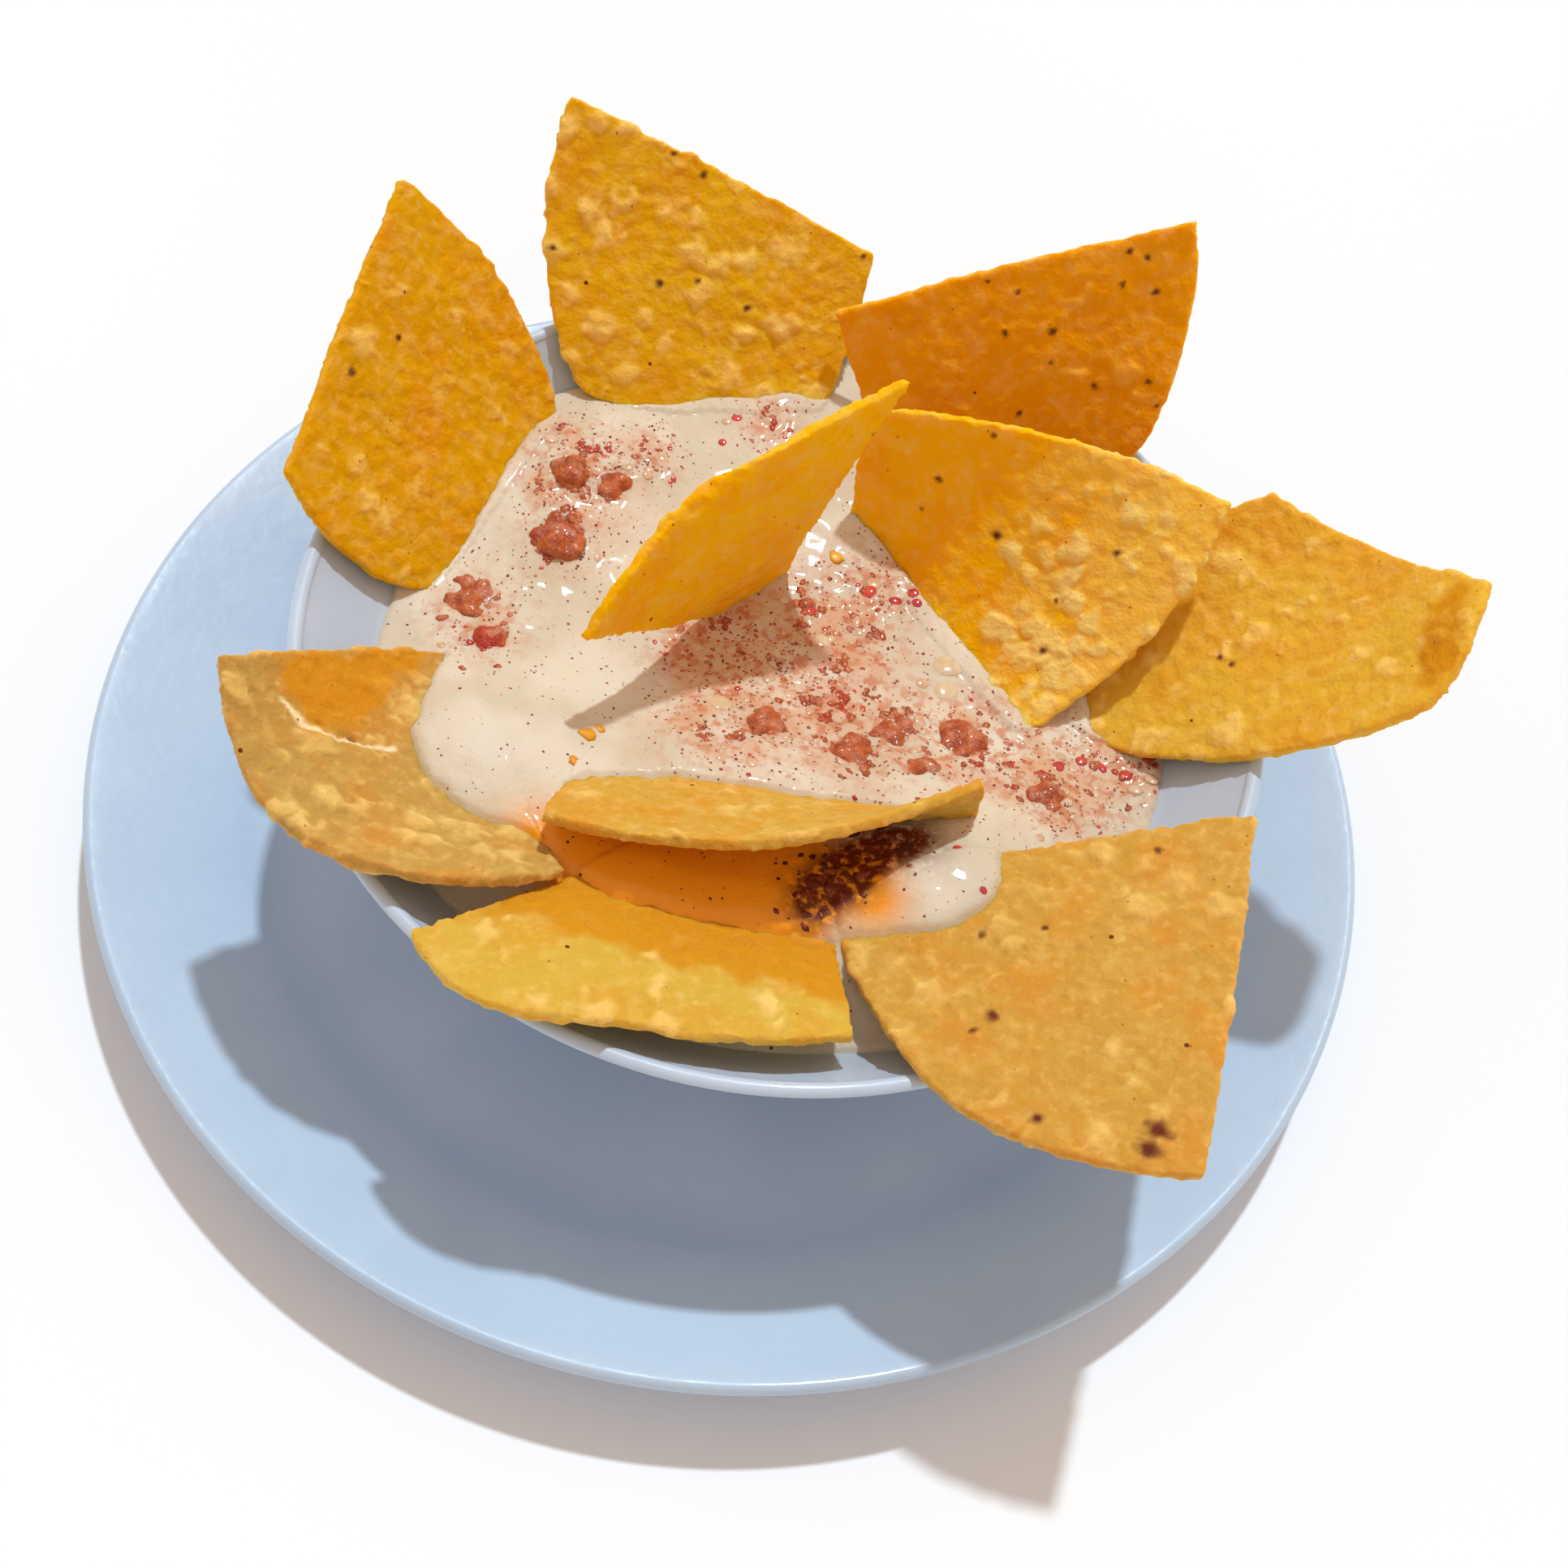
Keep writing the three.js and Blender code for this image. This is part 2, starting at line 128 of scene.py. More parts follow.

# Where the photograph shows meat and dark crumbs, and where orange light shining through the front chip onto the dip
# is painted: column, row and how far they spread.
PIXELS_PER_MM = 6.2
MEAT_AND_SHADE_SPOTS = [
    (705, 560, 6), (715, 600, 7), (690, 670, 6), (590, 765, 7), (800, 560, 4), (950, 520, 4),
    # The first three spots below also darken the dip where the leaning chip's shadow falls: painted shade as well as
    # meat stain.
    (860, 790, 7), (930, 790, 7), (900, 830, 7), (1000, 770, 7), (1080, 720, 7), (1050, 810, 7),
    (980, 830, 7), (870, 900, 7), (960, 900, 8),
    (1050, 930, 8), (1130, 920, 8), (1200, 910, 7), (1260, 945, 7), (1340, 950, 8), (1400, 940, 6),
    (1310, 1000, 6),
]
DARK_SPOTS = [(1125, 1035, 4), (1085, 1045, 4), (1050, 1065, 4), (1015, 1095, 4), (1000, 1118, 3), (1045, 1085, 3)]
# Orange light that shines through the front chip onto the dip in its shade, painted as colour.
PAINTED_GLOW_SPOTS = [
    (660, 1045, 5), (710, 1060, 6), (770, 1055, 6), (770, 1095, 6), (840, 1065, 6), (840, 1110, 6),
    (910, 1075, 6), (910, 1120, 5), (965, 1100, 5), (970, 1140, 4), (930, 1048, 5), (990, 1062, 5),
    (1000, 1105, 4), (1040, 1075, 4), (1085, 1050, 3), (1080, 1110, 4),
]

# Small things on the dip: how many, the smallest and largest radius, where and how wide they scatter.
CRUMBS = {"count": 260, "radius": (0.3 * MM, 1.0 * MM), "round": MEAT_AND_SHADE_SPOTS, "spread": 0.6}
CHAR = {"count": 130, "radius": (0.2 * MM, 0.9 * MM), "round": DARK_SPOTS, "spread": 0.9}
SPICE = {"count": 2400, "radius": (0.1 * MM, 0.3 * MM), "round": MEAT_AND_SHADE_SPOTS, "spread": 1.1}
DOTS = {"count": 200, "radius": (0.2 * MM, 0.6 * MM), "round": MEAT_AND_SHADE_SPOTS, "spread": 0.95}
FLECKS = {"count": 1500, "radius": (0.1 * MM, 0.28 * MM)}
BEADS = {"count": 150, "radius": (0.4 * MM, 1.3 * MM), "round": MEAT_AND_SHADE_SPOTS, "spread": 0.7}

# Little lumps of mince, each of a few grains, as column and row in the photograph and radius.
MINCE_GRAINS = 8
MINCE = [
    (712, 593, 2.6 * MM), (749, 611, 2.0 * MM), (706, 635, 2.0 * MM), (669, 664, 2.0 * MM), (677, 683, 1.6 * MM),
    (704, 672, 2.0 * MM), (738, 556, 1.4 * MM), (700, 566, 1.5 * MM), (715, 552, 1.5 * MM), (666, 603, 1.2 * MM),
    (1036, 819, 1.6 * MM), (1025, 844, 1.2 * MM), (999, 864, 2.0 * MM), (1041, 866, 2.4 * MM), (1017, 882, 1.8 * MM),
    (1073, 856, 1.5 * MM), (1097, 885, 1.8 * MM), (1118, 877, 1.2 * MM), (1179, 903, 2.0 * MM), (1203, 930, 1.8 * MM),
    (1036, 991, 1.2 * MM), (1067, 946, 2.0 * MM), (1000, 753, 2.2 * MM), (890, 765, 1.8 * MM), (600, 795, 2.0 * MM),
    (910, 905, 1.8 * MM), (870, 905, 1.5 * MM), (1290, 960, 2.0 * MM), (1350, 940, 1.8 * MM), (1080, 780, 1.6 * MM),
]

# Drops of red fat and clear bubbles, as column and row in the photograph and radius.
FAT_DROPS = [
    (908, 515, 1.0 * MM), (890, 545, 0.8 * MM), (1070, 730, 1.5 * MM), (1103, 740, 1.1 * MM),
    (1125, 730, 0.9 * MM), (1130, 743, 1.0 * MM), (1212, 1097, 0.8 * MM), (1180, 1045, 1.1 * MM),
    (830, 590, 0.7 * MM), (1001, 753, 1.4 * MM), (883, 757, 1.3 * MM), (1304, 945, 1.2 * MM),
    (1332, 938, 1.0 * MM), (1358, 946, 1.2 * MM), (1388, 955, 0.9 * MM), (1414, 934, 1.3 * MM),
]
BUBBLES = [(1170, 820, 3.2 * MM), (1165, 852, 2.4 * MM), (885, 865, 2.6 * MM), (1013, 790, 1.8 * MM)]
FLAKES = [(725, 905, 1.6 * MM), (740, 898, 1.1 * MM), (708, 938, 1.0 * MM), (1030, 687, 1.2 * MM)]


def srgb(red, green, blue):
    """A colour read on a screen from 0 to 255, as the linear colour that a shader takes."""
    levels = [level / 255 for level in (red, green, blue)]
    return [l / 12.92 if l <= 0.04045 else ((l + 0.055) / 1.055) ** 2.4 for l in levels] + [1.0]


class Look:
    """A principled material whose colour, roughness and relief come from a few layers of noise."""

    def __init__(self, name, **constants):
        self.material = bpy.data.materials.new(name)
        self.material.use_nodes = True
        self.tree = self.material.node_tree
        self.shader = self.tree.nodes["Principled BSDF"]
        self.place = self.tree.nodes.new("ShaderNodeTexCoord").outputs["Object"]
        for socket, value in constants.items():
            self.shader.inputs[socket.replace("_", " ")].default_value = value

    def link(self, source, socket):
        """Feeds a socket from another socket, or sets it to a plain value."""
        if isinstance(source, bpy.types.NodeSocket):
            self.tree.links.new(source, socket)
        else:
            socket.default_value = source

    def fade(self, source, low, high):
        """Stretches a value so that low becomes 0 and high becomes 1."""
        node = self.tree.nodes.new("ShaderNodeMapRange")
        node.interpolation_type = "SMOOTHSTEP"
        self.link(source, node.inputs["Value"])
        node.inputs["From Min"].default_value = low
        node.inputs["From Max"].default_value = high
        return node.outputs["Result"]

    def clouds(self, size, low=0.35, high=0.65, detail=2.0):
        """Soft patches of about the given size, from 0 to 1."""
        node = self.tree.nodes.new("ShaderNodeTexNoise")
        self.link(self.place, node.inputs["Vector"])
        node.inputs["Scale"].default_value = 1 / size
        node.inputs["Detail"].default_value = detail
        return self.fade(node.outputs["Fac"], low, high)

    def dots(self, spacing, radius, share):
        """Round dots that take up a share of the cells of a random grid, as a mask from 0 to 1."""
        node = self.tree.nodes.new("ShaderNodeTexVoronoi")
        self.link(self.place, node.inputs["Vector"])
        node.inputs["Scale"].default_value = 1 / spacing
        split = self.tree.nodes.new("ShaderNodeSeparateColor")
        self.link(node.outputs["Color"], split.inputs["Color"])
        inside = self.fade(node.outputs["Distance"], radius / spacing, 0.6 * radius / spacing)
        chosen = self.fade(split.outputs["Red"], share, 0.95 * share)
        return self.times(inside, chosen)

    def kept(self, label, output="Fac"):
        """A number, or with "Color" a colour, that is kept on each point of the mesh."""
        node = self.tree.nodes.new("ShaderNodeAttribute")
        node.attribute_name = label
        return node.outputs[output]

    def maths(self, operation, first, second):
        node = self.tree.nodes.new("ShaderNodeMath")
        node.operation = operation
        self.link(first, node.inputs[0])
        self.link(second, node.inputs[1])
        return node.outputs["Value"]

    def times(self, first, second):
        return self.maths("MULTIPLY", first, second)

    def plus(self, first, second):
        return self.maths("ADD", first, second)

    def mix(self, mask, first, second):
        """The first colour where the mask is 0 and the second where it is 1."""
        node = self.tree.nodes.new("ShaderNodeMix")
        node.data_type = "RGBA"
        self.link(mask, node.inputs["Factor"])
        first_colour, second_colour = (s for s in node.inputs if s.type == "RGBA")
        self.link(first, first_colour)
        self.link(second, second_colour)
        return next(s for s in node.outputs if s.type == "RGBA")

    def colour(self, source):
        self.link(source, self.shader.inputs["Base Color"])

    def roughness(self, mask, smooth, rough):
        node = self.tree.nodes.new("ShaderNodeMapRange")
        self.link(mask, node.inputs["Value"])
        node.inputs["To Min"].default_value = smooth
        node.inputs["To Max"].default_value = rough
        self.link(node.outputs["Result"], self.shader.inputs["Roughness"])

    def relief(self, mask, depth):
        node = self.tree.nodes.new("ShaderNodeBump")
        node.inputs["Distance"].default_value = depth
        self.link(mask, node.inputs["Height"])
        self.link(node.outputs["Normal"], self.shader.inputs["Normal"])


def glaze_look(name, light, dark):
    """Glossy ceramic with faint clouds in its tint and its polish."""
    look = Look(name, Specular_IOR_Level=0.3, Coat_Weight=0.25, Coat_Roughness=0.04)
    look.colour(look.mix(look.clouds(35 * MM), dark, light))
    look.roughness(look.clouds(9 * MM), 0.3, 0.4)
    look.relief(look.clouds(3 * MM, detail=1.0), 0.03 * MM)
    return look.material


def tortilla_look():
    """Fried corn: gold that light shines through, pale on its blisters, with scorched spots, painted shade on outlined
    parts and a painted highlight along a crack.
    """
    look = Look(
        "fried_tortilla",
        Subsurface_Weight=1.0,
        Subsurface_Radius=(1.0, 0.45, 0.1),
        Subsurface_Scale=1.3 * MM,
        Specular_IOR_Level=0.06,
    )
    toasted = look.mix(look.times(look.clouds(12 * MM, 0.4, 0.7), 0.3), look.kept("fried", "Color"), srgb(226, 132, 4))
    mottled = look.plus(look.clouds(3.6 * MM, 0.45, 0.75), look.clouds(1.7 * MM, 0.5, 0.75))
    puffed = look.plus(look.kept("pale"), look.times(mottled, 0.2))
    pale = look.mix(puffed, toasted, srgb(250, 218, 136))
    # Painted shade: outlined parts of some chips turned deep orange where they lie in shadow.
    painted_shade = look.mix(look.times(look.kept("painted_shade"), 0.8), pale, srgb(214, 144, 0))
    # Painted highlight: a pale line along the crack in the left chip.
    split = look.mix(look.kept("crack_glint"), painted_shade, srgb(252, 228, 184))
    fine = look.mix(look.dots(2.6 * MM, 0.28 * MM, 0.25), split, srgb(190, 112, 16))
    specks = look.mix(look.dots(7 * MM, 0.5 * MM, 0.4), fine, srgb(110, 54, 16))
    look.colour(look.mix(look.kept("burn"), specks, srgb(112, 48, 30)))
    look.roughness(look.clouds(2 * MM), 0.4, 0.6)
    grain = look.plus(look.clouds(0.8 * MM, detail=1.0), look.clouds(2.2 * MM, detail=1.0))
    look.relief(grain, 0.08 * MM)
    return look.material


def dip_look():
    """Cheese sauce: cream, stained pink and orange round the meat and darkened in the leaning chip's shadow as painted
    shade, with painted orange light where the front chip shades it, dark crumb patches and fine red-brown specks.
    """
    look = Look(
        "cheese_dip",
        Subsurface_Weight=0.3,
        Subsurface_Radius=(1.0, 0.6, 0.35),
        Subsurface_Scale=2 * MM,
        Specular_IOR_Level=0.15,
        Coat_Weight=0.45,
        Coat_Roughness=0.04,
    )
    cream = look.mix(look.clouds(16 * MM), srgb(212, 200, 178), srgb(225, 215, 197))
    # The stain also darkens the dip under the leaning chip: painted shade there, meat stain elsewhere.
    stain = look.kept("stain")
    haze = look.mix(look.times(stain, look.clouds(7 * MM, 0.3, 0.7)), cream, srgb(214, 168, 134))
    blotch = look.times(stain, look.clouds(2.2 * MM, 0.46, 0.66))
    orange = look.mix(look.times(blotch, 0.7), haze, srgb(198, 108, 64))
    # Painted light: orange where light shining through the front chip falls on the dip in its shade.
    chip_glow = look.mix(look.kept("painted_glow"), orange, srgb(246, 160, 24))
    char = look.mix(look.times(look.kept("char"), look.clouds(1.8 * MM, 0.24, 0.54)), chip_glow, srgb(104, 36, 16))
    look.colour(look.mix(look.dots(1.7 * MM, 0.2 * MM, 0.25), char, srgb(186, 98, 60)))
    look.roughness(look.clouds(4 * MM), 0.45, 0.6)
    look.relief(look.clouds(1.2 * MM, detail=1.0), 0.04 * MM)
    return look.material


def meat_look():
    """Oily minced sausage: orange-red to dark brown, veiled in places by the sauce."""
    look = Look(
        "chorizo",
        Subsurface_Weight=0.2,
        Subsurface_Radius=(1.0, 0.3, 0.15),
        Subsurface_Scale=1.5 * MM,
        Coat_Weight=0.5,
        Coat_Roughness=0.12,
    )
    brown = look.mix(look.clouds(2.2 * MM), srgb(166, 68, 34), srgb(206, 108, 56))
    red = look.mix(look.clouds(24 * MM, 0.5, 0.6), brown, srgb(190, 52, 20))
    dark = look.mix(look.times(look.clouds(1.1 * MM, 0.54, 0.74), 0.8), red, srgb(104, 36, 20))
    veil = look.times(look.clouds(2.4 * MM, 0.5, 0.7), 0.45)
    look.colour(look.mix(veil, dark, srgb(214, 160, 130)))
    look.roughness(look.clouds(1.5 * MM), 0.22, 0.45)
    look.relief(look.clouds(0.6 * MM), 0.12 * MM)
    return look.material


def speck_look(name, light, dark):
    """Ground spice: small grains that differ in colour."""
    look = Look(name, Specular_IOR_Level=0.4)
    look.colour(look.mix(look.clouds(2.5 * MM, 0.4, 0.6, detail=1.0), dark, light))
    look.roughness(look.clouds(1 * MM), 0.3, 0.5)
    return look.material


def wet_look(name, light, dark):
    """Drops of fat and bubbles: smooth, glossy and faintly uneven in colour."""
    look = Look(name, Coat_Weight=1.0, Coat_Roughness=0.04)
    look.colour(look.mix(look.clouds(2 * MM), dark, light))
    look.roughness(look.clouds(1 * MM), 0.08, 0.16)
    return look.material


def floor_look():
    """A pale matt table top."""
    look = Look("pale_floor", Specular_IOR_Level=0.2)
    look.colour(look.mix(look.clouds(0.4), srgb(240, 245, 251), srgb(244, 248, 253)))
    look.roughness(look.clouds(0.1), 0.7, 0.85)
    return look.material


def points_of(mesh, what="co"):
    """The places, or with "normal" the directions, of a mesh's points as rows."""
    flat = np.empty(len(mesh.vertices) * 3, np.float32)
    mesh.vertices.foreach_get(what, flat)
    return flat.reshape(-1, 3)


def move_points(mesh, points):
    mesh.vertices.foreach_set("co", points.astype(np.float32).ravel())
    mesh.update()


def keep_value(mesh, label, values):
    """Stores one number on each point, for a material to read."""
    mesh.attributes.new(label, "FLOAT", "POINT").data.foreach_set("value", values.astype(np.float32))


def keep_colour(mesh, label, colour):
    """Stores one colour on all points, for a material to read."""
    values = np.tile(np.float32(colour), len(mesh.vertices))
    mesh.attributes.new(label, "FLOAT_COLOR", "POINT").data.foreach_set("color", values)


def waves(points, size, seed):
    """Smooth noise from about -1 to 1 at each point, with lumps of the given size."""
    offset = Vector((seed * 7.31, seed * -3.17, seed * 5.53))
    return np.array([noise.noise(Vector(point) / size + offset) for point in points])


def drift(points, size, seed):
    """Smooth noise that shifts each point to a side."""
    offset = Vector((seed * 2.71, seed * 6.13, seed * -4.37))
    return np.array([noise.noise_vector(Vector(point) / size + offset) for point in points])


def shown(name, mesh, material, slot, *replaced):
    """Puts a mesh in the scene as a smooth piece of the object that stands for the given nodes."""
    mesh.materials.clear()
    mesh.materials.append(material)
    mesh.shade_smooth()
    piece = bpy.data.objects.new(name, mesh)
    bpy.context.scene.collection.objects.link(piece)
    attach(piece, BODY)
    if replaced:
        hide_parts(*replaced)
    return piece


def smoothed(name, levels, face=None):
    """A node's mesh with its facets rounded off, and with even fine faces if their size is given."""
    work = bmesh.new()
    work.from_mesh(nodes[name].data)
    bmesh.ops.remove_doubles(work, verts=work.verts, dist=0.005 * MM)
    bmesh.ops.join_triangles(work, faces=work.faces, angle_face_threshold=0.5, angle_shape_threshold=1.2)
    sharp = work.edges.layers.float.new("crease_edge")
    for edge in work.edges:
        edge[sharp] = float(edge.calc_face_angle(0) > SHARP_TURN)
    rough = bpy.data.meshes.new(name + "_rough")
    work.to_mesh(rough)
    work.free()
    holder = bpy.data.objects.new(name + "_holder", rough)
    bpy.context.scene.collection.objects.link(holder)
    holder.modifiers.new("round", "SUBSURF").levels = levels
    if face:
        even = holder.modifiers.new("even", "REMESH")
        even.voxel_size = face
    graph = bpy.context.evaluated_depsgraph_get()
    mesh = bpy.data.meshes.new_from_object(holder.evaluated_get(graph))
    bpy.data.objects.remove(holder)
    bpy.data.meshes.remove(rough)
    return mesh


def blisters(name, points, normals, seed):
    """Height of the uneven puffed patches on both sides of a chip."""
    draw = np.random.default_rng(seed)
    small, large = BLISTER["radius"]
    bent = points + BLISTER["bend"] * drift(points, BLISTER["size"], seed + 40)
    height = np.zeros(len(points))
    puffy = np.flatnonzero(points[:, 0] > BLISTER_FROM.get(name, -1))
    for middle in draw.choice(puffy, CHIPS[name]["blisters"]):
        radius = small + (large - small) * draw.random() ** 2
        away = np.linalg.norm(bent - bent[middle], axis=1) / radius
        near = (away < 1) & (normals @ normals[middle] > 0.4)
        dome = BLISTER["rise"] * radius * (1 - away[near] ** 2) ** 2
        height[near] = np.maximum(height[near], dome)
    return height


def paleness(name, points, domes, seed):
    """How pale each point of a chip is, from 0 to 1: its blisters, and painted light on the blistered end of the
    middle chip.
    """
    blistered = CHIPS[name]["pale"] * np.clip(domes / BLISTER["pale_from"], 0, 1)
    if name not in BLISTER_FROM:
        return blistered
    beyond = (points[:, 0] - BLISTER_FROM[name]) / LIT_END_FADE["width"] + waves(points, 6 * MM, seed)
    return np.maximum(blistered, LIT_END_FADE["pale"] * np.clip(beyond, 0, 1))


def burnt(points, burns, seed):
    """How scorched each point of a chip is, from 0 to 1."""
    uneven = 1 + 0.5 * waves(points, 1.2 * MM, seed)
    mask = np.zeros(len(points))
    for middle, radius in burns:
        away = np.linalg.norm(points - np.array(middle), axis=1) * uneven / radius
        mask = np.maximum(mask, np.clip(1.6 - 1.6 * away, 0, 1))
    return mask


def photo_pixels(points):
    """Column and row of each point in the photograph."""
    ahead, side, top = (np.array(axis) for axis in camera_axes())
    away = points - MM * np.array(CAMERA["place"])
    scale = CAMERA["focal"] / (away @ ahead)
    return np.stack([IMAGE_SIDE / 2 + scale * (away @ side), IMAGE_SIDE / 2 - scale * (away @ top)], -1)


def within(points, outline, seed):
    """How far each point lies inside an outline drawn on the photograph, from 0 to 1 over its soft edge."""
    if not outline:
        return np.zeros(len(points))
    pixels = photo_pixels(points)
    inside = SOFT_EDGE * (0.5 + waves(points, 4 * MM, seed))
    corners = np.array(outline, float)
    depths = []
    for start, end in zip(corners, np.roll(corners, -1, axis=0)):
        along_x, along_y = (end - start) / np.linalg.norm(end - start)
        depths.append(along_x * (pixels - start)[:, 1] - along_y * (pixels - start)[:, 0])
    return np.clip((np.min(depths, axis=0) + inside) / SOFT_EDGE, 0, 1)


def along(points, line, seed):
    """How near each point lies to a broken line drawn on the photograph, from 0 to 1."""
    pixels = photo_pixels(points)
    width = CRACK_GLINT_WIDTH * np.clip(0.7 + 1.6 * waves(points, 5 * MM, seed), 0.05, 1.5)
    corners = np.array(line, float)
    near = np.zeros(len(points))
    for start, end in zip(corners[:-1], corners[1:]):
        step = end - start
        share = np.clip((pixels - start) @ step / (step @ step), 0, 1)
        away = np.linalg.norm(pixels - start - share[:, None] * step, axis=1)
        near = np.maximum(near, np.clip(1.5 - 1.5 * away / width, 0, 1))
    return near


def tortilla_chip(name, seed, burns, material):
    """A chip that keeps its solid's form, with a warped sheet, ragged edges, grain and blisters."""
    mesh = smoothed(name, 2, CHIP_FACE)
    points = points_of(mesh)
    normals = points_of(mesh, "normal")
    domes = blisters(name, points, normals, seed)
    grain = CHIP_GRAIN["depth"] * waves(points, CHIP_GRAIN["size"], seed)
    warp = CHIP_WARP["depth"] * drift(points, CHIP_WARP["size"], seed)
    ragged = CHIP_EDGE["depth"] * drift(points, CHIP_EDGE["size"], seed + 20)
    move_points(mesh, points + warp + ragged + normals * (domes + grain)[:, None])
    keep_value(mesh, "pale", paleness(name, points, domes, seed))
    keep_value(mesh, "burn", burnt(points, burns, seed))
    # Painted shade on the outlined parts, and a painted highlight along the crack.
    keep_value(mesh, "painted_shade", within(points, PAINTED_SHADE_PARTS.get(name), seed))
    keep_value(mesh, "crack_glint", along(points, CRACK_GLINTS.get(name, []), seed))
    keep_colour(mesh, "fried", srgb(*CHIPS[name]["colour"]))
    return shown(name.replace("chip", "tortilla"), mesh, material, "fried_tortilla", name)


def meat_lump(name, seed, material):
    """A lump of minced sausage on its solid's form, with knobs and grain."""
    mesh = smoothed(name, 1, MEAT_FACE)
    points = points_of(mesh)
    knobs = MEAT_KNOBS["depth"] * waves(points, MEAT_KNOBS["size"], seed)
    grain = MEAT_GRAIN["depth"] * waves(points, MEAT_GRAIN["size"], seed)
    move_points(mesh, points + points_of(mesh, "normal") * (MEAT_SWELL + knobs + grain)[:, None])
    return shown(name.replace("chorizo", "meat"), mesh, material, "chorizo", name)


def tree_of(meshes):
    """A search tree over the faces of several meshes."""
    points = []
    faces = []
    for mesh in meshes:
        start = len(points)
        points += [vertex.co.copy() for vertex in mesh.vertices]
        faces += [[start + corner for corner in face.vertices] for face in mesh.polygons]
    return BVHTree.FromPolygons(points, faces)


def spread(grid, pick):
    """Each cell's pick of the cells within a slot's width of it."""
    reach = range(-SLOT_WIDTH, SLOT_WIDTH + 1)
    steps = [(i, j) for i in reach for j in reach if i * i + j * j <= SLOT_WIDTH ** 2]
    best = grid
    for i, j in steps:
        best = pick(best, np.roll(grid, (i, j), (0, 1)))
    return best


class DipSurface:
    """The top of the dip's solid as a smooth field of heights, with the slots round the chips closed."""

    def __init__(self):
        low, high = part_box("dip")
        margin = 2 * SLOT_WIDTH * DIP_SAMPLE
        self.start = np.array([low.x - margin, low.y - margin])
        count = np.ceil((np.array([high.x, high.y]) + margin - self.start) / DIP_SAMPLE).astype(int)
        solid = tree_of([nodes["dip"].data])
        heights = np.full(count, np.nan)
        for i, j in np.ndindex(*count):
            x, y = self.start + DIP_SAMPLE * np.array([i, j])
            hit = solid.ray_cast(Vector((x, y, 2 * high.z)), DOWN)[0]
            if hit:
                heights[i, j] = hit.z
        outside = np.isnan(heights)
        closed = spread(spread(np.where(outside, -1, heights), np.maximum), np.minimum)
        closed[outside] = np.nan
        self.heights = self.blurred(self.grown(closed))

    def grown(self, heights):
        """Fills the cells round the edge with the mean of the filled cells beside them."""
        beside = [(1, 0), (-1, 0), (0, 1), (0, -1)]
        for _ in range(2 * SLOT_WIDTH):
            around = np.stack([np.roll(heights, step, (0, 1)) for step in beside])
            filled = ~np.isnan(around)
            total = np.where(filled, around, 0).sum(0)
            mean = total / np.maximum(filled.sum(0), 1)
            heights = np.where(np.isnan(heights) & filled.any(0), mean, heights)
        return np.where(np.isnan(heights), np.nanmin(heights), heights)

    def blurred(self, heights):
        for axis in (0, 1, 0, 1, 0, 1, 0, 1):
            heights = (np.roll(heights, 1, axis) + 2 * heights + np.roll(heights, -1, axis)) / 4
        return heights

    def at(self, x, y):
        """Height at each place, read between the cells."""
        place = (np.stack([x, y], -1) - self.start) / DIP_SAMPLE
        cell = np.clip(place.astype(int), 0, np.array(self.heights.shape) - 2)
        i, j = cell[..., 0], cell[..., 1]
        s, t = (place - cell)[..., 0], (place - cell)[..., 1]
        low = self.heights[i, j] * (1 - s) + self.heights[i + 1, j] * s
        high = self.heights[i, j + 1] * (1 - s) + self.heights[i + 1, j + 1] * s
        return low * (1 - t) + high * t


def bowl_axis():
    low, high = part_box("bowl")
    return (low + high) / 2


def wall_reach(surface, turn, middle, wall):
    """How far the dip reaches from the bowl's axis in one direction, to just inside the wall."""
    out = Vector((math.cos(turn), math.sin(turn), 0))
    reach = 0.8 * (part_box("dip")[1].x - middle.x)
    for _ in range(3):
        height = float(surface.at(middle.x + reach * out.x, middle.y + reach * out.y))
        hit = wall.ray_cast(Vector((middle.x, middle.y, height)), out)
        reach = hit[3]
    return reach + DIP_INTO_WALL


def lip(points, carriers):
    """How much the dip swells up just inside the line where it ends on a chip or on the bowl."""
    rise = np.zeros(len(points))
    for number, point in enumerate(points):
        hit, facing, _, depth = carriers.ray_cast(Vector(point), DOWN)
        if hit and facing.z > 0:
            rise[number] = (1 - math.exp(-depth / LIP["width"])) * math.exp(-depth / LIP["reach"])
    return LIP["rise"] * rise


def dip_plan(surface, wall):
    """Places of a square grid that is bent into a disc as wide as the bowl's inside at the dip's edge."""
    middle = bowl_axis()
    across = np.linspace(-1, 1, DIP_CELLS + 1)
    u, v = np.meshgrid(across, across)
    x = u * np.sqrt(1 - v * v / 2)
    y = v * np.sqrt(1 - u * u / 2)
    turns = np.linspace(-math.pi, math.pi, 121)
    reaches = [wall_reach(surface, turn, middle, wall) for turn in turns]
    reach = np.interp(np.arctan2(y, x), turns, reaches)
    return middle.x + reach * x, middle.y + reach * y


